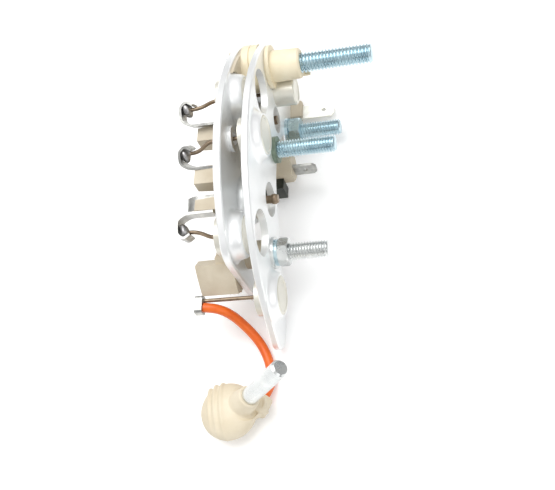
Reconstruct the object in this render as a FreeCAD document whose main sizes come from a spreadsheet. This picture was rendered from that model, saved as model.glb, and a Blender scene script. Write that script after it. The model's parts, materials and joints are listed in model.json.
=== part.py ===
"""Alternator rectifier: two crescent heat sinks with pressed-in diodes, a terminal moulding and studs.

Frame: X runs along the studs, Y along the chord of the crescent, Z up. The two fins stand on
their ends on the plane Z = 0. The stud-side fin's outer face lies at X = face_x.
"""
import FreeCAD, Part
import math
import os

from FreeCAD import Placement, Rotation, Vector

doc = FreeCAD.newDocument("rectifier")
sheet = doc.addObject("Spreadsheet::Sheet", "Sizes")
size = {}


TRUE_SCALE = 0.85


def mm(*readings):
    """Sizes read with the first guess of scale, brought to the size that the threads' pitch gives."""
    true = tuple(round(value * TRUE_SCALE, 3) for value in readings)
    return true if len(true) > 1 else true[0]


def driving(**readings):
    """Sizes read from the photo, put in the sheet at their true size."""
    given(**{name: mm(value) for name, value in readings.items()})


def given(**values):
    """Put named sizes in the sheet, in millimetres or degrees, each as a plain number."""
    for name, value in values.items():
        row = len(size) + 1
        sheet.set("A%d" % row, name)
        sheet.set("B%d" % row, repr(value))
        sheet.setAlias("B%d" % row, name)
        size[name] = float(value)


# Overall reach and the crescent's outline
driving(half_length=59.3, crown_radius=61.0, crown_drop=8.0, bore_radius=27.3,
        heel_radius=9.0, foot_radius=6.5, foot_flat=3.5, hook_fin_end=40.8,
        hook_fin_shoulder=11.0, hook_fin_toe=4.0)
driving(stud_reach=36.0, hook_reach=27.0)
# Fins and the gap between them
driving(stud_fin_plate=2.4, hook_fin_plate=2.6, fin_gap=6.5, rim_break=0.4)
# Pressed diodes and the collars drawn up from the fins
driving(can_radius=6.4, collar_root=8.3, collar_top=7.1, stud_collar_rise=2.8, hook_collar_rise=4.2,
        can_proud=0.25, can_back_stud=2.6, can_back_hook=2.5, resin_rise=0.6, resin_inset=0.8,
        face_dish=0.3, tall_can_radius=5.0, tall_can_rise=7.5, lead_radius=0.65,
        window_radius=7.6, rod_window=5.9, tie_window=4.7, lead_hole=2.2, eyelet_wall=2.0, eyelet_rise=1.2)
# Studs and their hardware
given(power_thread=6.0, stud_thread=5.0, thread_step=0.2, nut_flats=8.0, nut_high=3.6, thin_nut_flats=7.0,
      thin_nut_high=3.0, washer_thick=0.9, washer_radius=4.5, head_high=2.6)
driving(stud_a_reach=21.5, stud_b_reach=19.8, stud_c_reach=18.5, ring_radius=4.6, ring_high=1.6,
        spacer_radius=4.6, power_spacer_radius=8.3, spacer_clearance=0.15)
# Insulating collar of the power stud
driving(collar_radius=5.5, collar_reach=11.6, collar_flange=7.4, flange_thick=1.6, shield_radius=19.0,
        shield_thick=1.2, collar_key=2.4)
# Terminal moulding behind the hook-side fin
driving(plate_thick=3.0, plate_outer=49.0, plate_inner=30.5, bridge_flats=9.0, tower_high=7.5,
        arm_outer=52.0, arm_inner=46.6, arm_reach=12.5, arm_step=5.6, arm_lip=0.7)
given(tower_draft=3.0)
# Solder hooks
driving(strip_thick=0.8, strip_wide=5.0, claw_radius=2.1)
# Blade terminals
given(blade_wide=4.8, blade_thick=0.8, blade_hole=0.7)
driving(holder_high=4.4, blade_reach=16.4, second_blade=7.0)
# Loose lead with its insulated pin
driving(wire_radius=1.6, pin_radius=2.8, pin_long=21.0)
given(boot_radius=7.9, boot_half_high=4.9, boot_rise=5.0, neck_radius=4.3, dish_radius=4.9, dish_floor=5.2,
      hub_radius=3.2, nozzle_wall=1.25)
doc.recompute()

face_x = (size["hook_reach"] - size["stud_reach"]) / 2
inner_x = face_x - size["stud_fin_plate"]
hook_face_x = inner_x - size["fin_gap"]
back_x = hook_face_x - size["hook_fin_plate"]
crown_z = -size["crown_drop"]
heel_run = math.sqrt((size["crown_radius"] - size["heel_radius"]) ** 2 - (size["heel_radius"] - crown_z) ** 2)
heel_y = size["half_length"] - size["heel_radius"]
crown = (heel_y - heel_run, crown_z)

# Axes, as (Y, Z), of everything that stands on the fins
POWER = mm(33.6, 34.0)
STUD_A = mm(6.4, 23.4)
STUD_B = mm(24.7, 6.5)
STUD_C = mm(-30.7, 19.0)
STUD_DIODES = [mm(-45.0, 16.8), mm(-0.4, 42.7)]
TALL_DIODE = mm(30.0, 24.0)
HOOK_DIODES = [mm(16.5, 41.5), mm(-30.5, 33.0), mm(-14.0, 25.2), mm(20.2, 21.4)]
nodes = []
cord_nodes = []


# Helpers for outlines in the YZ plane
def on_circle(centre, radius, degrees):
    angle = math.radians(degrees)
    return (centre[0] + radius * math.cos(angle), centre[1] + radius * math.sin(angle))


def bearing(centre, point):
    return math.degrees(math.atan2(point[1] - centre[1], point[0] - centre[0]))


def shared_normal(big, big_radius, small, small_radius):
    """Direction, in degrees, of the outer tangent's normal on the far side of the two circles."""
    apart = math.dist(big, small)
    return bearing(big, small) - math.degrees(math.acos((big_radius - small_radius) / apart))


def crossing(first, first_radius, second, second_radius, side):
    """The point where two circles meet, left (1) or right (-1) of the line between centres."""
    apart = math.dist(first, second)
    along = (apart ** 2 + first_radius ** 2 - second_radius ** 2) / (2 * apart)
    off = side * math.sqrt(first_radius ** 2 - along ** 2)
    uy, uz = (second[0] - first[0]) / apart, (second[1] - first[1]) / apart
    return (first[0] + along * uy - off * uz, first[1] + along * uz + off * uy)


class Outline:
    """A closed outline drawn point by point: straight runs, and arcs through a middle point."""

    def __init__(self, start):
        self.points = [Vector(start[0], start[1], 0)]
        self.edges = []

    def line(self, end):
        end = Vector(end[0], end[1], 0)
        self.edges.append(Part.LineSegment(self.points[-1], end))
        self.points.append(end)
        return self

    def arc(self, centre, radius, start, end):
        """An arc about a centre, by its two bearings in degrees, joined to the last point."""
        first = on_circle(centre, radius, start)
        if math.dist(first, self.points[-1][:2]) > 1e-6:
            self.line(first)
        middle = Vector(*on_circle(centre, radius, (start + end) / 2), 0)
        last = Vector(*on_circle(centre, radius, end), 0)
        self.edges.append(Part.Arc(self.points[-1], middle, last))
        self.points.append(last)
        return self

    def close(self):
        if self.points[-1].distanceToPoint(self.points[0]) > 1e-6:
            self.line(self.points[0][:2])
        return self.edges


def sketch_on_yz(body, name, edges):
    """A sketch in the body's YZ plane, where sketch x is Y, sketch y is Z and the normal is +X."""
    sketch = body.newObject("Sketcher::SketchObject", name)
    plane = next(f for f in body.Origin.OriginFeatures if f.Role == "YZ_Plane")
    sketch.AttachmentSupport = [(plane, "")]
    sketch.MapMode = "FlatFace"
    for edge in edges:
        sketch.addGeometry(edge, False)
    return sketch


def circle(centre, radius):
    return Part.Circle(Vector(centre[0], centre[1], 0), Vector(0, 0, 1), radius)


def new_body(label):
    body = doc.addObject("PartDesign::Body", label)
    body.Label = label
    nodes.append(body)
    return body


def pad(body, sketch, length, reverse=False, taper=0.0):
    """Grow the sketch along +X, or along -X when reversed; length is an expression of the sheet."""
    feature = body.newObject("PartDesign::Pad", sketch.Name + "_pad")
    feature.Profile = sketch
    feature.setExpression("Length", length)
    feature.Reversed = reverse
    feature.TaperAngle = -taper
    sketch.Visibility = False
    return feature


def pocket(body, sketch, both_ways=True):
    """Cut the sketch right through the body and make sure that it took something away."""
    doc.recompute()
    before = body.Shape.Volume
    feature = body.newObject("PartDesign::Pocket", sketch.Name + "_cut")
    feature.Profile = sketch
    feature.Type = 1
    feature.Midplane = both_ways
    doc.recompute()
    if body.Shape.Volume >= before:
        raise RuntimeError(sketch.Name + " cuts nothing")
    return feature


def place(thing, x=0.0, y=0.0, z=0.0):
    thing.Placement = Placement(Vector(x, y, z), Rotation())


def from_code(label, shape, cord=False):
    """A sub-part whose form is worked out below from the sheet's sizes."""
    feature = doc.addObject("Part::Feature", label)
    feature.Label = label
    feature.Shape = shape
    nodes.append(feature)
    if cord:
        cord_nodes.append(label)
    return feature


def rod(x_from, x_to, centre, radius):
    return Part.makeCylinder(radius, abs(x_to - x_from), Vector(min(x_from, x_to), *centre), Vector(1, 0, 0))


def cone(x_from, x_to, centre, root, top):
    return Part.makeCone(root, top, x_to - x_from, Vector(x_from, *centre), Vector(1, 0, 0))


def turned(profile, centre):
    """A solid turned about the axis through centre along X, from (x, radius) points."""
    wire = Part.makePolygon([Vector(x, 0, r) for x, r in profile + profile[:1]])
    solid = Part.Face(wire).revolve(Vector(0, 0, 0), Vector(1, 0, 0), 360)
    solid.translate(Vector(0, *centre))
    return solid


def hexagon(x_from, x_to, centre, flats, turn=0.0):
    """A hexagon nut or head with its corners bevelled on the outer face."""
    corner = flats / math.sqrt(3)
    points = [Vector(x_from, centre[0] + corner * math.cos(math.radians(60 * k + turn)),
                     centre[1] + corner * math.sin(math.radians(60 * k + turn))) for k in range(7)]
    block = Part.Face(Part.makePolygon(points)).extrude(Vector(x_to - x_from, 0, 0))
    low, high = min(x_from, x_to), max(x_from, x_to)
    bevel = turned([(low, 0), (low, flats / 2 + 0.1), (low + 0.45, corner), (high - 0.45, corner),
                    (high, flats / 2 + 0.1), (high, 0)], centre)
    return block.common(bevel)


def rounded_path(points, share=0.45):
    """Straight runs joined by tangent arcs, each as large as its two runs allow."""
    points = [Vector(*p) for p in points]
    edges, radii, last = [], [], points[0]
    for before, corner, after in zip(points, points[1:], points[2:]):
        back, ahead = before - corner, after - corner
        half_turn = (math.pi - back.getAngle(ahead)) / 2
        cut = share * min(back.Length, ahead.Length)
        radii.append(cut / math.tan(half_turn))
        start = corner + back.normalize() * cut
        end = corner + ahead.normalize() * cut
        bisector = (back + ahead).normalize()
        middle = corner + bisector * (radii[-1] / math.cos(half_turn) - radii[-1])
        edges.append(Part.LineSegment(last, start).toShape())
        edges.append(Part.Arc(start, middle, end).toShape())
        last = end
    edges.append(Part.LineSegment(last, points[-1]).toShape())
    return Part.Wire(edges), radii


def tube(points, radius):
    path, radii = rounded_path(points)
    section = Part.Wire([Part.makeCircle(radius, Vector(*points[0]), Vector(*points[1]) - Vector(*points[0]))])
    return path.makePipeShell([section], True, True), path, radii


def strip(points, across, wide, thick):
    """A bent strip of sheet metal: a path of its middle line, and the direction of its width."""
    path, _ = rounded_path(points, 0.4)
    start, along = Vector(*points[0]), (Vector(*points[1]) - Vector(*points[0])).normalize()
    across = Vector(*across).normalize()
    normal = along.cross(across)
    corners = [start + across * (a * wide / 2) + normal * (b * thick / 2)
               for a, b in ((-1, -1), (1, -1), (1, 1), (-1, 1), (-1, -1))]
    return path.makePipeShell([Part.makePolygon(corners)], True, True)


# The crescents
def stud_fin_outline():
    crown_r, bore_r = size["crown_radius"], size["bore_radius"]
    heel_r, foot_r = size["heel_radius"], size["foot_radius"]
    heel, foot = (heel_y, heel_r), (-size["half_length"] + foot_r, foot_r)
    lug_r = STUD_B[1]
    normal = shared_normal(foot, -foot_r, crown, -crown_r) + 180
    lug_meets_bore = crossing(crown, bore_r, STUD_B, lug_r, 1)
    foot_end = (foot[0] + size["foot_flat"], 0)
    leaving = bearing(crown, foot_end) - math.degrees(math.acos(bore_r / math.dist(crown, foot_end)))
    line = Outline((STUD_B[0], 0))
    line.line((heel_y, 0)).arc(heel, heel_r, -90, bearing(crown, heel))
    line.arc(crown, crown_r, bearing(crown, heel), normal)
    line.arc(foot, foot_r, normal, 270).line(foot_end)
    line.arc(crown, bore_r, leaving, bearing(crown, lug_meets_bore))
    line.arc(STUD_B, lug_r, bearing(STUD_B, lug_meets_bore) % 360, 270)
    return line.close()


def hook_fin_outline():
    crown_r, bore_r = size["crown_radius"], size["bore_radius"]
    shoulder_r, toe_r = size["hook_fin_shoulder"], size["hook_fin_toe"]
    heel = (heel_y, size["heel_radius"])
    shoulder_y = -size["hook_fin_end"] + shoulder_r
    shoulder = (shoulder_y, crown[1] + math.sqrt((crown_r - shoulder_r) ** 2 - (shoulder_y - crown[0]) ** 2))
    toe = (-size["hook_fin_end"] + toe_r, toe_r)
    half_bore = math.sqrt(bore_r ** 2 - crown[1] ** 2)
    low, high = (crown[0] - half_bore, 0), (crown[0] + half_bore, 0)
    line = Outline(high)
    line.line((heel_y, 0)).arc(heel, size["heel_radius"], -90, bearing(crown, heel))
    line.arc(crown, crown_r, bearing(crown, heel), bearing(crown, shoulder))
    line.arc(shoulder, shoulder_r, bearing(crown, shoulder), 180)
    line.arc(toe, toe_r, 180, 270).line(low)
    line.arc(crown, bore_r, bearing(crown, low) % 360, bearing(crown, high))
    return line.close()


def collars(x_face, rise, centres, root=size["collar_root"], top=size["collar_top"]):
    """Drawn collars: a soft foot, a leaning wall and a rounded lip, turned about each axis."""
    flank = [(x_face, root + 0.9), (x_face + 0.3, root + 0.2), (x_face + 0.5 * rise, (root + top) / 2 + 0.05),
             (x_face + rise - 0.35, top + 0.1), (x_face + rise, top - 0.25)]
    curve = Part.BSplineCurve()
    curve.interpolate([Vector(x, 0, r) for x, r in flank])
    rest = [flank[-1], (x_face + rise, 0), (x_face - 0.2, 0), (x_face - 0.2, root + 0.9), flank[0]]
    edges = [curve.toShape()] + Part.makePolygon([Vector(x, 0, r) for x, r in rest]).Edges
    face = Part.Face(Part.Wire(Part.__sortEdges__(edges)))
    solid = face.revolve(Vector(0, 0, 0), Vector(1, 0, 0), 360)
    made = []
    for centre in centres:
        made.append(solid.copy())
        made[-1].translate(Vector(0, *centre))
    return made


def is_hole_edge(edge, holes):
    """True for the rim of one of the holes."""
    middle = edge.CenterOfMass
    return any(math.dist((middle.y, middle.z), centre) < 1e-3 for centre, _ in holes)


def make_fin(label, outline, thickness, x_low, x_high, bosses, holes):
    """A crescent plate with drawn collars, its holes cut through all, and its rim edges broken."""
    body = new_body(label + "_plate")
    nodes.remove(body)
    pad(body, sketch_on_yz(body, label + "_outline", outline), thickness)
    pocket(body, sketch_on_yz(body, label + "_holes", [circle(c, r) for c, r in holes]))
    place(body, x_low)
    doc.recompute()
    solid = body.Shape.copy()
    rims = [e for e in solid.Edges if not is_hole_edge(e, holes) and abs(e.CenterOfMass.x - x_low) < 1e-6]
    rims += [e for e in solid.Edges if not is_hole_edge(e, holes) and abs(e.CenterOfMass.x - x_high) < 1e-6]
    solid = solid.makeChamfer(size["rim_break"], rims)
    for boss in bosses:
        solid = solid.fuse(boss)
    through = [rod(x_low - 1, x_high + 9, c, r) for c, r in holes]
    for hole in through:
        solid = solid.cut(hole)
    solid = solid.removeSplitter()
    return from_code(label, solid)


can, tall = size["can_radius"], size["tall_can_radius"]
hook_collar_x = hook_face_x + size["hook_collar_rise"]
stud_collar_x = face_x + size["stud_collar_rise"]
tight = size["spacer_clearance"]
stud_holes = [(c, can) for c in STUD_DIODES] + [(TALL_DIODE, tall)]
stud_holes += [(mm(18.2, 40.8), size["window_radius"]), (mm(-30.4, 33.0), size["window_radius"]),
               (HOOK_DIODES[2], size["rod_window"]), (HOOK_DIODES[3], size["tie_window"])]
power_r = size["power_thread"] / 2 - size["thread_step"]
stud_r = size["stud_thread"] / 2 - size["thread_step"]
stud_holes += [(POWER, power_r), (STUD_A, stud_r), (STUD_B, stud_r), (STUD_C, stud_r)]
stud_fin = make_fin("stud_side_fin", stud_fin_outline(), "Sizes.stud_fin_plate", inner_x, face_x,
                    collars(face_x, size["stud_collar_rise"], STUD_DIODES), stud_holes)

lead_holes = [STUD_DIODES[1], TALL_DIODE]
eyelet = size["lead_hole"] + size["eyelet_wall"]
hook_holes = [(c, can) for c in HOOK_DIODES] + [(c, size["lead_hole"]) for c in lead_holes]
hook_holes += [(POWER, power_r + 1), (STUD_A, stud_r), (STUD_B, stud_r), (STUD_C, stud_r)]
small_collar = cone(hook_face_x - 0.2, hook_collar_x, HOOK_DIODES[3], size["collar_top"] + 0.2, size["collar_top"])
eyelets = [rod(hook_face_x - 0.2, hook_face_x + size["eyelet_rise"], c, eyelet) for c in lead_holes]
hook_fin = make_fin("hook_side_fin", hook_fin_outline(), "Sizes.hook_fin_plate", back_x, hook_face_x,
                    collars(hook_face_x, size["hook_collar_rise"], HOOK_DIODES[:3]) + [small_collar] + eyelets,
                    hook_holes)


# The pressed diodes: closed end towards the studs, resin and lead towards the hooks
def diode(name, centre, radius, x_back, x_front):
    dish, edge = size["face_dish"], 0.35
    wall = size["resin_inset"]
    shell = turned([(x_front - dish, 0), (x_front - dish, radius - 1.1), (x_front, radius - 0.9),
                    (x_front, radius - edge), (x_front - edge, radius), (x_back, radius),
                    (x_back, radius - wall), (x_back + 2.0, radius - wall), (x_back + 2.0, 0)], centre)
    from_code(name + "_can", shell)
    lead_r = size["lead_radius"]
    resin = turned([(x_back + 2.0, 0), (x_back + 2.0, radius - wall), (x_back, radius - wall),
                    (x_back - size["resin_rise"], lead_r + 1.0), (x_back - size["resin_rise"], 0)], centre)
    resin = resin.cut(rod(x_back + 1.0, x_back - 2.0, centre, lead_r))
    from_code(name + "_resin", resin)


def lead(name, centre, x_start, points):
    path = [(x_start, *centre)] + points
    solid, _, _ = tube(path, size["lead_radius"])
    from_code(name, solid)


stud_front = stud_collar_x + size["can_proud"]
stud_back = inner_x - size["can_back_stud"]
hook_front = hook_collar_x + size["can_proud"]
hook_back = back_x - size["can_back_hook"]
for number, centre in enumerate(STUD_DIODES, 1):
    diode("stud_diode_%d" % number, centre, can, stud_back, stud_front)
diode("stud_diode_3", TALL_DIODE, tall, inner_x + 0.6, face_x + size["tall_can_rise"])
for number, centre in enumerate(HOOK_DIODES, 1):
    diode("hook_diode_%d" % number, centre, can, hook_back, hook_front)

# The studs, from their heads to their tips, and the nuts and washers on them
def stud(name, centre, x_head, x_thread, x_tip, thread, flats):
    """A headed stud whose shank is a step thinner than the thread that stands free."""
    radius, shank = thread / 2, thread / 2 - size["thread_step"]
    core = turned([(x_head, 0), (x_head, shank), (x_thread, shank), (x_thread, radius), (x_tip - 0.8, radius),
                   (x_tip, radius - 0.7), (x_tip, 0)], centre)
    core = core.fuse(hexagon(x_head - size["head_high"], x_head, centre, flats)).removeSplitter()
    from_code(name, core)


def washer(name, centre, x_low, x_high, bore, radius):
    ring = turned([(x_low, bore), (x_low, radius), (x_high, radius), (x_high, bore)], centre)
    from_code(name, ring)


def nut(name, centre, x_low, high, flats, bore, turn=0.0):
    block = hexagon(x_low, x_low + high, centre, flats, turn)
    from_code(name, block.cut(rod(x_low - 1, x_low + high + 1, centre, bore)))


carrier_x = back_x - size["plate_thick"]
thick, head_back = size["washer_thick"], back_x - size["shield_thick"]
nut_b_x, nut_c_x = face_x + thick, face_x + 1.9 * thick
collar_x = face_x + size["collar_reach"]
ring_x = face_x + size["ring_high"]
flats, thread = size["nut_flats"], size["stud_thread"]
stud("power_stud", POWER, head_back, collar_x, face_x + size["stud_reach"], size["power_thread"], flats + 2.0)
stud("stud_a", STUD_A, carrier_x, ring_x, face_x + size["stud_a_reach"], thread, flats)
stud("stud_b", STUD_B, inner_x, nut_b_x + size["nut_high"], face_x + size["stud_b_reach"], thread, flats)
stud("stud_c", STUD_C, carrier_x, nut_c_x + size["thin_nut_high"], face_x + size["stud_c_reach"], thread, flats)
washer("power_insulating_washer", POWER, head_back, back_x, power_r, size["washer_radius"] + 1.4)
washer("stud_b_washer", STUD_B, face_x, nut_b_x, stud_r, size["washer_radius"])
nut("stud_b_nut", STUD_B, nut_b_x, size["nut_high"], flats, stud_r)
washer("stud_c_plain_washer", STUD_C, face_x, face_x + thick, stud_r, size["washer_radius"])
washer("stud_c_spring_washer", STUD_C, face_x + thick, nut_c_x, stud_r, size["washer_radius"] - 0.8)
nut("stud_c_nut", STUD_C, nut_c_x, size["thin_nut_high"], size["thin_nut_flats"], stud_r, 30)
washer("stud_a_ring", STUD_A, face_x, ring_x, stud_r, size["ring_radius"])

# Insulation: bushes in the gap, the shield under the power stud and its outer collar
for name, centre in (("spacer_a", STUD_A), ("spacer_c", STUD_C)):
    washer(name, centre, hook_face_x, inner_x, stud_r, size["spacer_radius"])
middle_x = (hook_face_x + size["shield_thick"] + inner_x) / 2
power_bush = turned([(hook_face_x + size["shield_thick"], power_r), (hook_face_x + size["shield_thick"],
                    size["power_spacer_radius"]), (middle_x - 0.2, size["power_spacer_radius"]),
                    (middle_x, size["power_spacer_radius"] - 0.4),
                    (middle_x + 0.2, size["power_spacer_radius"]), (inner_x, size["power_spacer_radius"]),
                    (inner_x, power_r)], POWER)
from_code("power_bush", power_bush)
shield = rod(hook_face_x, hook_face_x + size["shield_thick"], POWER, size["shield_radius"])
within = rod(hook_face_x, hook_face_x + size["shield_thick"], crown, size["crown_radius"] - 0.8)
sleeve = rod(back_x, hook_face_x + 0.1, POWER, power_r + 1)
shield = shield.common(within).cut(Part.makeBox(60, 60, mm(22.5), Vector(hook_face_x - 9, 0, 0)))
for centre, radius in ((HOOK_DIODES[0], size["collar_root"]), (HOOK_DIODES[3], size["collar_root"]),
                       (TALL_DIODE, eyelet)):
    shield = shield.cut(rod(hook_face_x - 1, hook_face_x + 9, centre, radius + 0.3))
shield = shield.cut(Part.makeBox(60, 60, 60, Vector(hook_face_x - 9, mm(14.2) - 60, 0)))
shield = shield.fuse(sleeve).cut(rod(back_x - 1, hook_face_x + 9, POWER, power_r)).removeSplitter()
from_code("power_shield", shield)

flange_x = face_x + size["flange_thick"]
collar_r = size["collar_radius"]
collar = turned([(face_x, power_r), (face_x, size["collar_flange"] - 0.4), (face_x + 0.4, size["collar_flange"]),
                 (flange_x, size["collar_flange"]), (flange_x, collar_r), (collar_x - 0.5, collar_r - 0.25),
                 (collar_x, collar_r - 0.8), (collar_x, power_r)], POWER)
key = Part.makeBox(size["collar_reach"] - size["flange_thick"] + 1.6, size["collar_key"], collar_r,
                   Vector(flange_x, POWER[0] - size["collar_key"] / 2, POWER[1] - collar_r - 0.3))
key = key.cut(rod(flange_x - 1, collar_x, POWER, power_r + 0.6))
key = key.cut(rod(collar_x, collar_x + 9, POWER, power_r + 1.6))
collar = collar.cut(rod(face_x - 1, face_x + 9, TALL_DIODE, tall + 0.05)).fuse(key).removeSplitter()
collar = collar.cut(rod(face_x - 1, face_x + size["tall_can_rise"] + 0.2, TALL_DIODE, tall + 0.05))
from_code("power_collar", collar)


# The terminal moulding: a crescent plate with towers, an arm, and a bridge under the bore
def sector(inner, outer, low, high):
    line = Outline(on_circle(crown, inner, low))
    line.line(on_circle(crown, outer, low)).arc(crown, outer, low, high)
    line.line(on_circle(crown, inner, high)).arc(crown, inner, high, low)
    return line.close()


def rectangle(centre, wide, high):
    y, z = centre
    line = Outline((y - wide / 2, z - high / 2))
    line.line((y + wide / 2, z - high / 2)).line((y + wide / 2, z + high / 2))
    return line.line((y - wide / 2, z + high / 2)).close()


TOWERS = [(mm(5.2, 36.5), *mm(6.0, 7.0)), (mm(-10.5, 36.5), *mm(7.0, 6.0)),
          (mm(-20.0, 34.5), *mm(5.0, 5.0)), (mm(10.0, 33.0), *mm(5.0, 5.0))]
BRIDGE = mm(7.6, 9.4)
moulding = new_body("moulding_body")
nodes.remove(moulding)
plate = pad(moulding, sketch_on_yz(moulding, "moulding_outline", sector(size["plate_inner"], size["plate_outer"], 28, 152)),
            "Sizes.plate_thick", reverse=True)
for number, (centre, wide, high) in enumerate(TOWERS, 1):
    tower = sketch_on_yz(moulding, "tower_%d" % number, rectangle(centre, wide, high))
    pad(moulding, tower, "Sizes.plate_thick + Sizes.tower_high", reverse=True, taper=size["tower_draft"])
arm = sketch_on_yz(moulding, "arm", sector(size["arm_inner"], size["arm_outer"], 137.5, 150))
pad(moulding, arm, "Sizes.arm_reach", reverse=True)
lip = sketch_on_yz(moulding, "arm_root", sector(size["arm_inner"] - 4, size["arm_outer"] - size["arm_lip"], 132, 150.5))
pad(moulding, lip, "Sizes.arm_step", reverse=True)
tongue = sketch_on_yz(moulding, "tongue", rectangle((BRIDGE[0], mm(18.0)), size["bridge_flats"], mm(26.4)))
pad(moulding, tongue, "Sizes.plate_thick", reverse=True)
place(moulding, back_x)
doc.recompute()
body_shape = moulding.Shape.copy()
bridge_end = face_x + mm(3.5)
bridge = hexagon(carrier_x, bridge_end, BRIDGE, size["bridge_flats"], 30)
body_shape = body_shape.fuse(bridge)
clear = [rod(carrier_x - 9, back_x + 1, c, can + 0.4) for c in HOOK_DIODES]
clear += [rod(carrier_x - 9, back_x + 1, c, size["lead_radius"] + 0.3) for c in (STUD_DIODES[1], TALL_DIODE)]
clear += [rod(carrier_x - 9, back_x + 1, STUD_A, stud_r), rod(carrier_x - 9, back_x + 1, STUD_C, stud_r),
          rod(carrier_x - 9, back_x + 1, POWER, size["washer_radius"] + 1.8)]
clear += [rod(carrier_x - 20, carrier_x, c, 5.2) for c in (STUD_A, STUD_C)]
for hole in clear:
    body_shape = body_shape.cut(hole)
from_code("terminal_moulding", body_shape.removeSplitter())

# Blade terminals and their holders
blade_y, blade_z = mm(36.0, 1.9)
wide_b, thick_b = size["blade_wide"], size["blade_thick"]


def blade(name, x_low, x_high, y, z, upright):
    across, deep = (thick_b, wide_b) if upright else (wide_b, thick_b)
    tab = Part.makeBox(x_high - x_low, across, deep, Vector(x_low, y - across / 2, z - deep / 2))
    ends = [e for e in tab.Edges if abs(e.CenterOfMass.x - x_high) < 1e-6
            and abs(e.Length - thick_b) < 1e-6]
    tab = tab.makeChamfer(1.1, ends)
    hole_at = Vector(x_high - 3.4, y, z)
    axis = Vector(0, 1, 0) if upright else Vector(0, 0, 1)
    tab = tab.cut(Part.makeCylinder(size["blade_hole"], 4, hole_at - axis * 2, axis))
    from_code(name, tab)


holder = Part.makeBox(size["holder_high"], wide_b + 1.2, 3.0, Vector(face_x, blade_y + 0.8 - wide_b / 2 - 0.6, 0.3))
holder = holder.makeChamfer(0.4, [e for e in holder.Edges if abs(e.CenterOfMass.x - face_x - size["holder_high"]) < 1e-6])
slot = Part.makeBox(9, wide_b, thick_b, Vector(face_x + 1.0, blade_y - wide_b / 2, blade_z - thick_b / 2))
from_code("blade_holder", holder.cut(slot))
blade("blade_terminal_1", face_x + 1.0, face_x + size["blade_reach"], blade_y, blade_z, False)
blade("blade_terminal_2", bridge_end, bridge_end + size["second_blade"] + 1.0, BRIDGE[0] - 1.0, BRIDGE[1], True)
pad_block = Part.makeBox(bridge_end - 3.0 - hook_face_x, mm(4.0), mm(7.0),
                         Vector(hook_face_x, BRIDGE[0] - size["bridge_flats"] / 2 - mm(4.0), mm(3.0)))
from_code("bridge_pad", pad_block)

# The tie pins that stand on two of the hook-side cans and show in the small windows
pins = rod(hook_front, face_x + 2.3, HOOK_DIODES[2], 1.15)
pins = pins.fuse(Part.makeSphere(1.5, Vector(face_x + 1.2, *HOOK_DIODES[2])).common(
    rod(face_x - 2, face_x + 2.3, HOOK_DIODES[2], 3)))
second_pin = rod(hook_front, face_x + 0.2, HOOK_DIODES[3], 1.3)
from_code("tie_pins", Part.makeCompound([pins, second_pin]))


# Solder hooks: bent strips that stand beside a tower and curl over the end of a lead
def hook(name, foot, toward, reach=0.0):
    run = math.dist(foot, toward)
    uy, uz = (toward[0] - foot[0]) / run, (toward[1] - foot[1]) / run
    tip = face_x - size["hook_reach"] + size["strip_thick"] / 2 + reach
    profile = [(carrier_x, 0), (tip + 2.6, 0), (tip, 1.5), (tip, run + 0.8),
               (tip + 1.9, run + 2.2), (tip + 3.7, run + 1.0)]
    points = [(x, foot[0] + along * uy, foot[1] + along * uz) for x, along in profile]
    bent = strip(points, (0, -uz, uy), size["strip_wide"], size["strip_thick"])
    solder = Part.makeSphere(1.3, Vector(tip + 1.2, *toward))
    solder = solder.cut(rod(tip - 9, tip + 9, toward, size["lead_radius"]))
    below = Part.makeBox(30, 80, 80, Vector(tip + size["strip_thick"] / 2, toward[0] - 40, toward[1] - 40))
    from_code(name, bent.fuse(solder.common(below)).removeSplitter())
    return tip + size["strip_thick"] / 2


lead_ends = [mm(13.0, 43.0), mm(-2.6, 40.5), mm(-16.5, 28.5), mm(-29.5, 36.0)]
feet = [mm(8.0, 40.4), mm(-6.6, 37.5), mm(-17.1, 32.6), mm(-24.0, 37.2)]
sources = [HOOK_DIODES[0], STUD_DIODES[1], HOOK_DIODES[2], HOOK_DIODES[1]]
for number, (foot, end) in enumerate(zip(feet, lead_ends), 1):
    stop = hook("solder_hook_%d" % number, foot, end)
    source = sources[number - 1]
    start = hook_back if source in HOOK_DIODES else stud_back
    lead("lead_%d" % number, source, start + 1.0,
         [(carrier_x - 1.7, *source), (carrier_x - 5.1, *end), (stop, *end)])
lead("lead_5", STUD_DIODES[0], stud_back + 1.0, [(face_x - mm(26.5), *STUD_DIODES[0])])
lead("lead_6", TALL_DIODE, inner_x + 1.6, [(carrier_x - 3.0, *TALL_DIODE), (carrier_x - 5.0, *mm(25.5, 27.5))])
lead("lead_7", HOOK_DIODES[3], hook_back + 1.0, [(carrier_x - 3.0, *HOOK_DIODES[3]), (carrier_x - 5.0, *mm(23.0, 25.5))])

# The loose wire: crimped beside the lowest lead, down to the table and into the insulated pin
WIRE = [(-28.3, -47.4, 16.9), (-24.8, -47.6, 16.4), (-21.6, -48.2, 14.4), (-19.2, -49.1, 11.0),
        (-16.9, -50.8, 7.2), (-14.4, -53.2, 4.0), (-12.0, -56.4, 2.2), (-10.2, -60.2, 1.65),
        (-8.9, -64.2, 1.65), (-8.4, -68.0, 1.9), (-8.9, -71.3, 2.7), (-10.3, -74.5, 3.5)]
WIRE = [mm(*point) for point in WIRE]
wire, route, radii = tube(WIRE, size["wire_radius"])
from_code("loose_wire", wire, cord=True)
print("wire length", round(route.Length, 1), "radii", [round(r, 1) for r in radii],
      "volume ratio", round(wire.Volume / (math.pi * size["wire_radius"] ** 2 * route.Length), 4))

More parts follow.
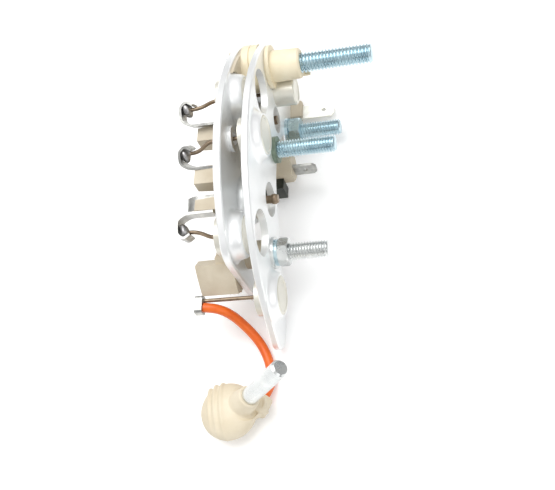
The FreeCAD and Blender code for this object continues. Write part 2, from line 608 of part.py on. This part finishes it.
crimp = Part.makeBox(*mm(2.6, 6.2, 4.0), Vector(WIRE[0][0] - mm(2.6), *mm(-49.7, 14.9)))
crimp = crimp.makeFillet(1.0, [e for e in crimp.Edges if abs(e.Length - mm(2.6)) < 1e-6])
from_code("lead_crimp", crimp.cut(rod(-40, -20, STUD_DIODES[0], size["lead_radius"])))

PIN_ROOT = Vector(*mm(-12.1, -76.8, 12.9))
PIN_AXIS = Vector(0.66, 0.16, 0.735).normalize()
NOZZLE = (Vector(*WIRE[-1]), Vector(*mm(-12.4, -80.0, 4.6)))


def along_pin(profile):
    """A solid turned about the pin's axis, from (distance from its root, radius) points."""
    wire_loop = Part.makePolygon([Vector(r, 0, a) for a, r in profile + profile[:1]])
    solid = Part.Face(wire_loop).revolve(Vector(0, 0, 0), Vector(0, 0, 1), 360)
    solid.Placement = Placement(PIN_ROOT, Rotation(Vector(0, 0, 1), PIN_AXIS))
    return solid


# The insulator is a flat round boot lying on the table, with a neck to the wire and a dish round the pin
BOOT = Vector(-17.9, -67.5, size["boot_rise"])
BOOT_END = Vector(-7.75, -65.25, 3.4)
low_z, high_z = size["boot_rise"] - size["boot_half_high"], size["boot_rise"] + size["boot_half_high"]
flat_r = size["boot_radius"] - size["boot_half_high"]
flank = Part.Arc(Vector(flat_r, 0, low_z), Vector(size["boot_radius"], 0, size["boot_rise"]),
                 Vector(flat_r, 0, high_z)).toShape()
rest = Part.makePolygon([Vector(flat_r, 0, high_z), Vector(0, 0, high_z), Vector(0, 0, low_z),
                         Vector(flat_r, 0, low_z)]).Edges
boot = Part.Face(Part.Wire([flank] + rest)).revolve(Vector(0, 0, 0), Vector(0, 0, 1), 360)
boot.translate(Vector(BOOT.x, BOOT.y, 0))
neck_root = BOOT + (BOOT_END - BOOT) * 0.33
neck = Part.makeCone(size["neck_radius"], size["wire_radius"] + size["nozzle_wall"],
                     (BOOT_END - neck_root).Length, neck_root, BOOT_END - BOOT)

pin_r, hub_r, floor = size["pin_radius"], size["hub_radius"], size["dish_floor"]
dish = along_pin([(-floor, 0), (-floor, size["dish_radius"] - 0.5), (-floor + 0.6, size["dish_radius"]),
                  (9, size["dish_radius"] + 1), (9, 0)])
hub = along_pin([(-floor - 2, 0), (-floor - 2, hub_r + 0.9), (-floor, hub_r + 0.8), (-0.4, hub_r), (0, hub_r - 0.3),
                 (0, 0)])
toward = NOZZLE[0] - NOZZLE[1]
nozzle = Part.makeCylinder(size["wire_radius"] + size["nozzle_wall"], toward.Length, NOZZLE[1], toward)
insulator = boot.fuse(neck).cut(dish).fuse(hub).fuse(nozzle)
root_r = pin_r - size["thread_step"]
pin_long = size["pin_long"]
pin = along_pin([(-5, 0), (-5, root_r), (0, root_r), (0, pin_r), (pin_long - 0.5, pin_r), (pin_long, pin_r - 0.5),
                 (pin_long, 0)])
from_code("wire_end_insulator", insulator.cut(pin).removeSplitter(), cord=True)
from_code("wire_end_pin", pin, cord=True)


# Report and export
doc.recompute()
if __name__ == "__main__":
    os.makedirs("parts", exist_ok=True)
    for thing in doc.Objects:
        if "Invalid" in thing.State or "Error" in thing.State:
            raise RuntimeError(thing.Name + " failed: " + str(thing.State))
    for node in nodes:
        if node.Shape.isNull() or not node.Shape.isValid():
            raise RuntimeError(node.Label + " has no valid shape")
        node.Shape.exportStep("parts/" + node.Label + ".step")
        print(node.Label, round(node.Shape.Volume, 1), [round(v, 1) for v in
              (node.Shape.BoundBox.XMin, node.Shape.BoundBox.XMax, node.Shape.BoundBox.YMin,
               node.Shape.BoundBox.YMax, node.Shape.BoundBox.ZMin, node.Shape.BoundBox.ZMax)])
    print(len(nodes), "nodes")
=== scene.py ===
# %% [markdown]
# # An alternator rectifier, dressed from its CAD frame
#
# The object is a pair of crescent heat sinks with diodes pressed into them, four threaded studs,
# a moulding with solder hooks and one loose orange lead. The CAD model gives every place and size.
# This lesson adds what CAD left plain: threads, finishes, solder, a soft lead and studio light.

import json
import math

import bmesh
import bpy
from mathutils import Matrix, Vector


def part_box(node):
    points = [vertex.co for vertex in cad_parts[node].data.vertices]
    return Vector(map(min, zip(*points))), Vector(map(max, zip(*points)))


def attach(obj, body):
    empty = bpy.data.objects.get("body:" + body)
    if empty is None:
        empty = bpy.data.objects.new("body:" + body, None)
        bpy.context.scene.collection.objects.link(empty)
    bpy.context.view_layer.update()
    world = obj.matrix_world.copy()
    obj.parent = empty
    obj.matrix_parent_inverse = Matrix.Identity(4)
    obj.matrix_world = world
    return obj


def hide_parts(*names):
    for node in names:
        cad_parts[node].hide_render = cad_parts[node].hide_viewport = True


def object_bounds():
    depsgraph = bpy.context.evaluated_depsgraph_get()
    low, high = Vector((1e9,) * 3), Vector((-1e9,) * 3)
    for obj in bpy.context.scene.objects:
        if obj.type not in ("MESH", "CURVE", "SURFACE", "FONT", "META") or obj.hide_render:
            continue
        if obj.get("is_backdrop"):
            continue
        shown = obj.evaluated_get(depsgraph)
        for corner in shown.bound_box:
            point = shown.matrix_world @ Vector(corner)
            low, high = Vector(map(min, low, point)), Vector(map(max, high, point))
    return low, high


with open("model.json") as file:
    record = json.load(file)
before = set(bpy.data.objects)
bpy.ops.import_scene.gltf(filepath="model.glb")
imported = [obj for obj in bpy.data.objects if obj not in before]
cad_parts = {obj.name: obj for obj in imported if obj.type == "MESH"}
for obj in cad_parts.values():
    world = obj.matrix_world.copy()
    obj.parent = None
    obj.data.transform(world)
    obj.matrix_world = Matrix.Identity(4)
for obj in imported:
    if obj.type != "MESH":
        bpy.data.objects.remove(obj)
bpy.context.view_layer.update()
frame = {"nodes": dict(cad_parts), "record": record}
MM = 0.001

# %% [markdown]
# ## The camera
#
# The photographer looked down on the part from its lower left, with a short telephoto. A camera can
# be aimed with an empty and a constraint, but then its roll is awkward. Here its three axes are
# written down as a matrix, because they were solved from the outline of the two crescents.

# %% Camera
PHOTO_WIDTH = 555
FOCAL_PIXELS = 871.0
camera_data = bpy.data.cameras.new("photo_camera")
camera_data.sensor_width = 36
camera_data.lens = 36 * FOCAL_PIXELS / PHOTO_WIDTH
camera_data.clip_start = 0.01
camera = bpy.data.objects.new("photo_camera", camera_data)
bpy.context.scene.collection.objects.link(camera)
bpy.context.scene.camera = camera
right = Vector((0.9652, 0.0335, -0.25936))
up = Vector((0.08776, 0.89275, 0.44192))
back = right.cross(up)
turn = Matrix((right, up, back)).transposed()
camera.matrix_world = Matrix.Translation(Vector((57.12, -133.0, 225.012)) * MM) @ turn.to_4x4()
print("lens, mm:", round(camera_data.lens, 1))

# %% [markdown]
# ## The loose lead
#
# The lead is a length of stranded wire in an orange sleeve. A curve with a round bevel is the natural
# way to make it: its control points pull a smooth line, as a springy wire would lie. The points are
# those of the route in the CAD source.

# %% Orange lead
ROUTE = [(-24.055, -40.29, 14.365), (-21.08, -40.46, 13.94), (-18.36, -40.97, 12.24),
         (-16.32, -41.735, 9.35), (-14.365, -43.18, 6.12), (-12.24, -45.22, 3.4),
         (-10.2, -47.94, 1.87), (-8.67, -51.17, 1.402), (-7.565, -54.57, 1.402),
         (-7.14, -57.8, 1.615), (-7.565, -60.605, 2.295), (-8.755, -63.325, 2.975)]
LEAD_DIAMETER = 2.72 * MM


def smooth_curve(name, points, diameter, resolution=6):
    """A round rod along a smooth line that the points pull into shape.

    A curve's box is its points grown by their radius, so the points get a small one and the bevel the rest.
    """
    data = bpy.data.curves.new(name, "CURVE")
    data.dimensions = "3D"
    spline = data.splines.new("NURBS")
    spline.points.add(len(points) - 1)
    for control, place in zip(spline.points, points):
        control.co = (*(Vector(place) * MM), 1)
        control.radius = MM
    spline.order_u = 3
    spline.use_endpoint_u = True
    data.resolution_u = resolution
    data.bevel_depth = diameter / 2 / MM
    data.bevel_resolution = 4
    data.use_fill_caps = True
    piece = bpy.data.objects.new(name, data)
    bpy.context.scene.collection.objects.link(piece)
    return piece


lead = smooth_curve("orange_lead", ROUTE, LEAD_DIAMETER)
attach(lead, "root")
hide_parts("loose_wire")
print("lead made of", len(ROUTE), "control points")

# %% [markdown]
# ## Tools for shader maths
#
# A finish is a chain of nodes, and wiring each one by hand hides the idea behind it. Node groups could
# bundle them. Here a small class wraps a node's output, so that 0.3 + 0.16 * cloud adds its Math nodes.


# %% Helpers for materials
def linear(red, green, blue):
    """A colour as a screen shows it, 0 to 255, turned into the light that a shader works with."""
    parts = [value / 255 for value in (red, green, blue)]
    return (*[p / 12.92 if p <= 0.04045 else ((p + 0.055) / 1.055) ** 2.4 for p in parts], 1.0)


class Socket:
    """One output of a node, so that shader maths reads as an expression."""

    def __init__(self, finish, output):
        self.finish, self.output = finish, output

    def math(self, operation, *values):
        places = dict(enumerate(values))
        return self.finish.node("Math", {"operation": operation}, places)

    def __add__(self, other):
        return self.math("ADD", self, other)

    def __mul__(self, other):
        return self.math("MULTIPLY", self, other)

    __radd__, __rmul__ = __add__, __mul__


class Finish:
    """A material or a world, with one method that adds any node."""

    def __init__(self, name, owner=None):
        self.material = owner or bpy.data.materials.new(name)
        self.material.use_nodes = True
        self.tree = self.material.node_tree
        self.shader = self.tree.nodes.get("Principled BSDF")

    def node(self, kind, settings=None, sockets=None, out=0):
        made = self.tree.nodes.new("ShaderNode" + kind)
        for key, value in (settings or {}).items():
            if key == "stops":
                ramp = made.color_ramp
                while len(ramp.elements) < len(value):
                    ramp.elements.new(0.5)
                for element, (place, colour) in zip(ramp.elements, value):
                    element.position, element.color = place, colour
            else:
                setattr(made, key, value)
        for key, value in (sockets or {}).items():
            self.put(made.inputs[key], value)
        return Socket(self, made.outputs[out]) if len(made.outputs) else None

    def put(self, target, value):
        if isinstance(value, Socket):
            self.tree.links.new(value.output, target)
        else:
            target.default_value = value

    def set(self, **sockets):
        for key, value in sockets.items():
            self.put(self.shader.inputs[key.replace("_", " ")], value)
        return self

    def place(self):
        """Where a point is on the object, in metres."""
        return self.node("TexCoord", out="Object")

    def noise(self, scale, detail, roughness):
        """Smooth random patches, 0 to 1, of about 1 / scale metres."""
        return self.node("TexNoise", {}, {"Vector": self.place(), "Scale": scale, "Detail": detail,
                                          "Roughness": roughness})

    def ramp(self, value, *stops):
        """Colours or greys along a value; each stop is (place, colour) or (place, grey)."""
        full = [(p, c if hasattr(c, "__len__") else (c, c, c, 1)) for p, c in stops]
        return self.node("ValToRGB", {"stops": full}, {"Fac": value})

    def bump(self, height, depth, strength):
        """Dents and ridges of a depth in metres."""
        return self.node("Bump", {}, {"Height": height, "Distance": depth, "Strength": strength})


# %% [markdown]
# ## Light and floor
#
# The photo is a bright product shot on white. A white world does most of the lighting, so shadows are
# soft and metal has something pale to mirror. A darker band near the horizon gives the zinc plate the
# dark line that a real studio gives it. The floor is white too and only keeps the shadows.

# %% World and floor
world = bpy.data.worlds.new("studio")
bpy.context.scene.world = world
sky = Finish("studio", world)
sky.tree.nodes.clear()
direction = sky.node("TexCoord", out="Generated")
height = sky.node("SeparateXYZ", {}, {0: direction}, out="Z")
glow = sky.ramp(height, (0.0, 0.9), (0.03, 0.34), (0.2, 0.42), (0.42, 0.95), (1.0, 1.0))
lit = sky.node("Background", {}, {"Color": glow, "Strength": 0.78})
seen = sky.node("Background", {}, {"Color": (1, 1, 1, 1), "Strength": 1.0})
ray = sky.node("LightPath", out="Is Camera Ray")
chosen = sky.node("MixShader", {}, {0: ray, 1: lit, 2: seen})
sky.node("OutputWorld", {}, {"Surface": chosen})
bpy.context.scene.view_settings.view_transform = "Standard"

bpy.ops.mesh.primitive_plane_add(size=20, location=(0, 0, -0.0001))
floor = bpy.context.object
floor.name = "studio_floor"
floor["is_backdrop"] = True
paper = Finish("white_sweep")
paper.set(Base_Color=(0.86, 0.86, 0.865, 1), Roughness=0.9, Specular_IOR_Level=0.1)
paper_seen = paper.node("BsdfDiffuse", {}, {"Color": (1.0, 1.0, 1.0, 1)})
paper_glow = paper.node("Emission", {}, {"Color": (1, 1, 1, 1), "Strength": 0.12})
paper_white = paper.node("AddShader", {}, {0: paper_seen, 1: paper_glow})
path = paper.node("LightPath", out="Is Camera Ray")
mirrored = paper.node("LightPath", out="Is Glossy Ray")
to_eye = path.math("MAXIMUM", path, mirrored)
paper_lit = Socket(paper, paper.shader.outputs[0])
paper_mix = paper.node("MixShader", {}, {0: to_eye, 1: paper_lit, 2: paper_white})
paper.tree.links.new(paper_mix.output, paper.tree.nodes["Material Output"].inputs["Surface"])
floor.data.materials.append(paper.material)


def softbox(name, size, power, place, target=(0, 0, 0.02)):
    """A square lamp behind a diffuser, aimed at a point."""
    data = bpy.data.lights.new(name, "AREA")
    data.shape, data.size, data.energy = "SQUARE", size, power
    lamp = bpy.data.objects.new(name, data)
    bpy.context.scene.collection.objects.link(lamp)
    aim = Vector(target) - Vector(place)
    lamp.matrix_world = Matrix.Translation(place) @ aim.to_track_quat("-Z", "Y").to_matrix().to_4x4()


softbox("key_softbox", 0.5, 2.6, (-0.12, 0.10, 0.62))
softbox("fill_softbox", 0.5, 1.0, (0.45, -0.45, 0.45))
print("studio ready")

# %% [markdown]
# ## Finishes
#
# Every finish starts from the colour that the photo shows and then gets what makes it real: slow
# changes of tone and fine grain. The patterns are worked out from the point's
# place on the object, so they need no unwrapping and no image.


# %% Finishes
def satin_aluminium():
    """Stamped aluminium: nearly white, with faint rolling marks and cloudy oxide."""
    finish = Finish("satin_aluminium")
    cloud = finish.noise(90, 4, 0.6)
    grain = finish.noise(1400, 2, 0.5)
    tone = finish.ramp(cloud, (0.3, linear(240, 242, 242)), (0.7, linear(249, 250, 250)))
    finish.set(Base_Color=tone, Metallic=0.62, Roughness=0.3 + 0.16 * cloud)
    finish.set(Normal=finish.bump(grain, 0.00003, 0.35))
    return finish.material


def nickel_can():
    """The drawn metal cup of a diode: warm and satin."""
    finish = Finish("nickel_can")
    cloud = finish.noise(160, 4, 0.6)
    grain = finish.noise(2200, 2, 0.5)
    tone = finish.ramp(cloud, (0.3, linear(218, 215, 203)), (0.7, linear(232, 230, 220)))
    finish.set(Base_Color=tone, Metallic=0.5, Roughness=0.28 + 0.2 * cloud)
    finish.set(Normal=finish.bump(grain, 0.00002, 0.3))
    return finish.material


def zinc_plate(name, low, high):
    """Bright zinc, blue or clear by its two colours, as on studs and nuts."""
    finish = Finish(name)
    cloud = finish.noise(220, 3, 0.6)
    tone = finish.ramp(cloud, (0.3, linear(*low)), (0.7, linear(*high)))
    finish.set(Base_Color=tone, Metallic=1.0, Roughness=0.2 + 0.15 * cloud)
    return finish.material


def tinned(name, dark, light):
    """Tin-dipped brass and solder: grey, uneven and fairly shiny."""
    finish = Finish(name)
    cloud = finish.noise(420, 4, 0.6)
    tone = finish.ramp(cloud, (0.3, linear(*dark)), (0.7, linear(*light)))
    finish.set(Base_Color=tone, Metallic=1.0, Roughness=0.25 + 0.25 * cloud)
    finish.set(Normal=finish.bump(cloud, 0.0002, 0.5))
    return finish.material


def nylon(name, dark, light):
    """Moulded natural nylon: warm, waxy, a little mottled."""
    finish = Finish(name)
    cloud = finish.noise(130, 4, 0.55)
    grain = finish.noise(2600, 2, 0.5)
    tone = finish.ramp(cloud, (0.32, linear(*dark)), (0.68, linear(*light)))
    finish.set(Base_Color=tone, Roughness=0.42 + 0.16 * cloud, Specular_IOR_Level=0.4)
    finish.set(Normal=finish.bump(grain, 0.00003, 0.25))
    return finish.material


def orange_sleeve():
    """Silicone sleeve of the lead."""
    finish = Finish("orange_sleeve")
    cloud = finish.noise(260, 3, 0.5)
    tone = finish.ramp(cloud, (0.3, linear(222, 92, 16)), (0.7, linear(236, 112, 34)))
    finish.set(Base_Color=tone, Roughness=0.36)
    return finish.material


def dull(name, dark, light, metal=0.0, rough=0.5):
    """A plain dull finish with soft patches."""
    finish = Finish(name)
    cloud = finish.noise(300, 4, 0.6)
    tone = finish.ramp(cloud, (0.3, linear(*dark)), (0.7, linear(*light)))
    finish.set(Base_Color=tone, Metallic=metal, Roughness=rough)
    return finish.material


FINISHES = {
    "fin": satin_aluminium(),
    "can": nickel_can(),
    "resin": dull("potting_resin", (168, 146, 112), (196, 176, 142)),
    "zinc_steel": zinc_plate("blue_zinc", (176, 200, 210), (206, 226, 232)),
    "clear_zinc": zinc_plate("clear_zinc", (205, 208, 208), (228, 230, 228)),
    "tinned": tinned("tinned_strip", (150, 150, 148), (205, 205, 200)),
    "solder": tinned("solder", (150, 149, 150), (214, 213, 212)),
    "blade": tinned("bright_blade", (226, 226, 216), (246, 246, 240)),
    "moulding": nylon("moulding_nylon", (196, 183, 160), (214, 204, 184)),
    "collar": nylon("collar_nylon", (232, 219, 188), (242, 232, 206)),
    "insulator": nylon("insulator_nylon", (218, 205, 178), (230, 219, 196)),
    # dark_seal is painted shade: its near-black colour goes on a block set under the moulding's arm, where the
    # fins cast deep shade.
    "dark_seal": dull("dark_seal", (24, 26, 22), (52, 58, 48)),
    "seal_ring": dull("seal_ring", (96, 112, 98), (130, 146, 128), 0.3, 0.4),
    "copper": dull("tarnished_lead", (120, 104, 88), (168, 150, 128), 0.9, 0.35),
    "orange_sleeve": orange_sleeve(),
}


def dress(piece, finish):
    """Give a whole piece one finish."""
    piece.data.materials.clear()
    piece.data.materials.append(FINISHES[finish])
    if piece.type == "MESH":
        for face in piece.data.polygons:
            face.material_index = 0


slots = {entry["node"]: entry["material_slot"] for entry in frame["record"]["subparts"]}
SPECIAL = {"power_collar": "collar", "power_bush": "collar", "wire_end_insulator": "insulator",
           "stud_a_ring": "seal_ring", "stud_c": "clear_zinc", "stud_c_nut": "clear_zinc",
           "wire_end_pin": "clear_zinc", "blade_terminal_1": "blade", "stud_c_plain_washer": "clear_zinc"}
for node, piece in frame["nodes"].items():
    dress(piece, SPECIAL.get(node, slots[node]))
dress(lead, "orange_sleeve")
print(len(FINISHES), "finishes on", len(frame["nodes"]), "nodes")

# %% [markdown]
# ## Threads
#
# A screw thread is one ridge that winds round the stud. It could be a Screw modifier on a small
# profile, but its ends stay open. Here a grid is rolled up into a tube: the place along the stud and
# the angle round it together say how deep each point lies, so the ridge winds and both ends close.


# %% Threaded studs
def alone(piece):
    """Select one piece and nothing else."""
    bpy.ops.object.select_all(action="DESELECT")
    piece.select_set(True)
    bpy.context.view_layer.objects.active = piece


THREAD_DEPTH = 0.58     # of a pitch
CREST = 1.25            # above 1, so that the crest is flat
FLANK = 3.4             # how steeply the ridge falls


def rolled_thread(name, x_from, x_to, centre, radius, pitch, steps=10, sides=40):
    """A closed threaded rod along X; all sizes in metres."""
    rings = max(8, round((x_to - x_from) / pitch * steps))
    bpy.ops.object.select_all(action="DESELECT")
    bpy.ops.mesh.primitive_grid_add(x_subdivisions=rings, y_subdivisions=sides, size=1)
    rod = bpy.context.object
    rod.name = name
    depth = THREAD_DEPTH * pitch
    for vertex in rod.data.vertices:
        along, around = vertex.co.x + 0.5, vertex.co.y + 0.5
        x = x_from + along * (x_to - x_from)
        phase = (x / pitch - around) % 1
        ridge = min(1, max(0, CREST - abs(phase - 0.5) * FLANK))
        reach = radius - depth * (1 - ridge)
        chamfer = radius - 1.1 * depth + (x_to - x)
        reach = min(reach, chamfer)
        angle = around * math.tau
        vertex.co = (x, centre[0] + reach * math.cos(angle), centre[1] + reach * math.sin(angle))
    bpy.ops.object.mode_set(mode="EDIT")
    bpy.ops.mesh.select_all(action="SELECT")
    bpy.ops.mesh.remove_doubles(threshold=1e-6)
    bpy.ops.mesh.select_all(action="DESELECT")
    bpy.ops.mesh.select_non_manifold()
    bpy.ops.mesh.edge_face_add()
    bpy.ops.mesh.select_all(action="SELECT")
    bpy.ops.mesh.normals_make_consistent(inside=False)
    bpy.ops.object.mode_set(mode="OBJECT")
    return rod


def close_ends(rod):
    """Fill every open ring of a rod with a face of its own."""
    shape = bmesh.new()
    shape.from_mesh(rod.data)
    loose = [edge for edge in shape.edges if edge.is_boundary]
    if loose:
        bmesh.ops.holes_fill(shape, edges=loose)
    bmesh.ops.recalc_face_normals(shape, faces=shape.faces)
    shape.to_mesh(rod.data)
    shape.free()


def smooth(piece, degrees=35):
    alone(piece)
    bpy.ops.object.shade_smooth_by_angle(angle=math.radians(degrees))


# Stud, pitch, where the thread starts, the head's height, and its flats as a share of the stud's box
HEAD_TOP = 2.6
HEAD_COVER = 3.0
CORE = 0.45
THREADS = [("power_stud", 1.0, 5.9, 1.3, 0.8), ("stud_a", 0.8, -2.5, 2.6, 1.0),
           ("stud_b", 0.8, 0.6, 2.6, 1.0), ("stud_c", 0.8, 0.8, 2.6, 1.0)]
for node, pitch, x_start, head_high, head_share in THREADS:
    low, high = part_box(node)
    centre = ((low.y + high.y) / 2, (low.z + high.z) / 2)
    points = [v.co for v in frame["nodes"][node].data.vertices if v.co.x > high.x - 3 * MM]
    radius = max(math.hypot(p.y - centre[0], p.z - centre[1]) for p in points)
    rod = rolled_thread(node + "_thread", x_start * MM, high.x, centre, radius, pitch * MM)
    close_ends(rod)
    smooth(rod, 50)
    print(node, "radius mm", round(radius / MM, 2), "faces", len(rod.data.polygons))
    bpy.ops.object.select_all(action="DESELECT")
    shank_from, shank_to = low.x + (HEAD_COVER - head_high) * MM, (x_start + 0.2) * MM
    bpy.ops.mesh.primitive_cylinder_add(vertices=32, radius=radius - CORE * pitch * MM,
                                        depth=shank_to - shank_from, rotation=(0, math.pi / 2, 0),
                                        location=((shank_from + shank_to) / 2, *centre))
    shank = bpy.context.object
    bpy.ops.object.select_all(action="DESELECT")
    flats = head_share * (high.z - low.z) / 2
    bpy.ops.mesh.primitive_cylinder_add(vertices=6, radius=flats / math.cos(math.pi / 6), depth=head_high * MM,
                                        rotation=(0, math.pi / 2, 0),
                                        location=(low.x + (HEAD_TOP - head_high / 2) * MM, *centre))
    head = bpy.context.object
    bevel = head.modifiers.new("broken_edges", "BEVEL")
    bevel.width, bevel.segments = 0.35 * MM, 2
    bpy.ops.object.modifier_apply(modifier=bevel.name)
    bpy.ops.object.select_all(action="DESELECT")
    for part in (head, shank, rod):
        part.select_set(True)
    bpy.context.view_layer.objects.active = rod
    bpy.ops.object.join()
    dress(rod, SPECIAL.get(node, slots[node]))
    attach(rod, "root")
    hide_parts(node)

# %% [markdown]
# ## The insulated wire end
#
# The lead ends in a moulded boot: a flat round back with soft ribs, a neck that takes the wire and a
# dish from which the metal pin stands. Hand modelling could loft it, but the soft blends between its
# forms are easier from overlapping primitives that a Remesh modifier melts together and smooths.

# %% Boot
PIN_ROOT = Vector((-10.285, -65.28, 10.965))
PIN_AXIS = Vector((0.66, 0.16, 0.735)).normalized()
BOOT = Vector((-17.9, -67.5, 5.0))
BOOT_RADIUS, BOOT_FLATNESS = 7.9, 0.6
RIBS = [(1.0, 7.72), (2.9, 7.25), (4.6, 6.3)]     # how far behind the middle, and their radius
RIB_THICK = 0.5
BOOT_END = Vector((-7.75, -65.25, 3.4))
MOUTH, ELBOW = Vector(ROUTE[-1]), Vector((-10.54, -68.0, 3.91))


def round_bar(start, end, first_radius, last_radius, sides=40):
    """A round bar between two places in mm, thinner or thicker at its end."""
    bpy.ops.object.select_all(action="DESELECT")
    run = end - start
    bpy.ops.mesh.primitive_cone_add(vertices=sides, radius1=first_radius * MM, radius2=last_radius * MM,
                                    depth=run.length * MM, location=(start + end) / 2 * MM,
                                    rotation=run.to_track_quat("Z", "Y").to_euler())
    return bpy.context.object


def melt(pieces, name, voxel, rounds):
    """Join pieces, make one skin of them and smooth it."""
    bpy.ops.object.select_all(action="DESELECT")
    for part in pieces:
        part.select_set(True)
    bpy.context.view_layer.objects.active = pieces[0]
    bpy.ops.object.join()
    whole = bpy.context.object
    whole.name = name
    bpy.ops.object.transform_apply(location=True, rotation=True, scale=True)
    skin = whole.modifiers.new("one_skin", "REMESH")
    skin.mode, skin.voxel_size, skin.use_smooth_shade = "VOXEL", voxel * MM, True
    bpy.ops.object.modifier_apply(modifier=skin.name)
    soft = whole.modifiers.new("soften", "SMOOTH")
    soft.factor, soft.iterations = 0.5, rounds
    bpy.ops.object.modifier_apply(modifier=soft.name)
    return whole


bpy.ops.object.select_all(action="DESELECT")
bpy.ops.mesh.primitive_uv_sphere_add(segments=64, ring_count=32, radius=BOOT_RADIUS * MM,
                                     location=BOOT * MM, scale=(1, 1, BOOT_FLATNESS))
boot_forms = [bpy.context.object, round_bar(BOOT.lerp(BOOT_END, 0.33), BOOT_END, 4.3, 2.65)]
for behind, ring in RIBS:
    bpy.ops.object.select_all(action="DESELECT")
    bpy.ops.mesh.primitive_torus_add(major_radius=ring * MM, minor_radius=RIB_THICK * MM,
                                     major_segments=72,
                                     location=(BOOT + Vector((-behind, 0, 0.2))) * MM,
                                     rotation=(0, math.pi / 2, 0.12))
    bpy.context.object.scale = (0.6, 1, 1)
    boot_forms.append(bpy.context.object)
boot = melt(boot_forms, "moulded_boot", 0.25, 1)
dish = round_bar(PIN_ROOT - 5.0 * PIN_AXIS, PIN_ROOT + 9 * PIN_AXIS, 4.9, 5.6, 64)
hollow = boot.modifiers.new("dish", "BOOLEAN")
hollow.operation, hollow.object = "DIFFERENCE", dish
alone(boot)
bpy.ops.object.modifier_apply(modifier=hollow.name)
bpy.data.objects.remove(dish)
hub = round_bar(PIN_ROOT - 7.2 * PIN_AXIS, PIN_ROOT - 0.2 * PIN_AXIS, 4.1, 3.1)
boot = melt([boot, hub, round_bar(ELBOW, MOUTH, 2.65, 2.65)], "moulded_boot", 0.22, 2)
dress(boot, "insulator")
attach(boot, "root")
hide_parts("wire_end_insulator")
print("boot faces", len(boot.data.polygons))

# %% [markdown]
# ## Solder
#
# Each hook closes over the end of a lead in a lump of solder. A lump is a sphere that surface tension
# pulled out of true, so a fine sphere has its points pushed in and out by slow waves.


# %% Solder lumps
def solder_lump(name, place, radius, seed):
    bpy.ops.object.select_all(action="DESELECT")
    bpy.ops.mesh.primitive_ico_sphere_add(subdivisions=4, radius=radius * MM)
    lump = bpy.context.object
    lump.name = name
    for vertex in lump.data.vertices:
        d = vertex.co.normalized()
        swell = 1 + 0.13 * math.sin(2.3 * d.x + 3.1 * d.y + seed)
        swell += 0.09 * math.sin(4.1 * d.z - 2.7 * d.y + 2 * seed)
        vertex.co = Vector((d.x * 0.72, d.y * 1.1, d.z)) * radius * MM * swell + Vector(place) * MM
    lump.data.update()
    bpy.ops.object.shade_smooth()
    dress(lump, "solder")
    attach(lump, "root")


SOLDER_X = -24.9
LEAD_ENDS = [(11.05, 36.55), (-2.21, 34.43), (-14.03, 24.23), (-25.08, 30.6)]
for number, (y, z) in enumerate(LEAD_ENDS, 1):
    solder_lump("solder_%d" % number, (SOLDER_X, y, z), 2.0, 1.7 * number)
print("solder lumps:", len(LEAD_ENDS))

# %% [markdown]
# ## The dressed box
#
# The box that all shown pieces fill is measured, leaving out the floor.

# %% Finish
bpy.context.view_layer.update()
low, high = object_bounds()
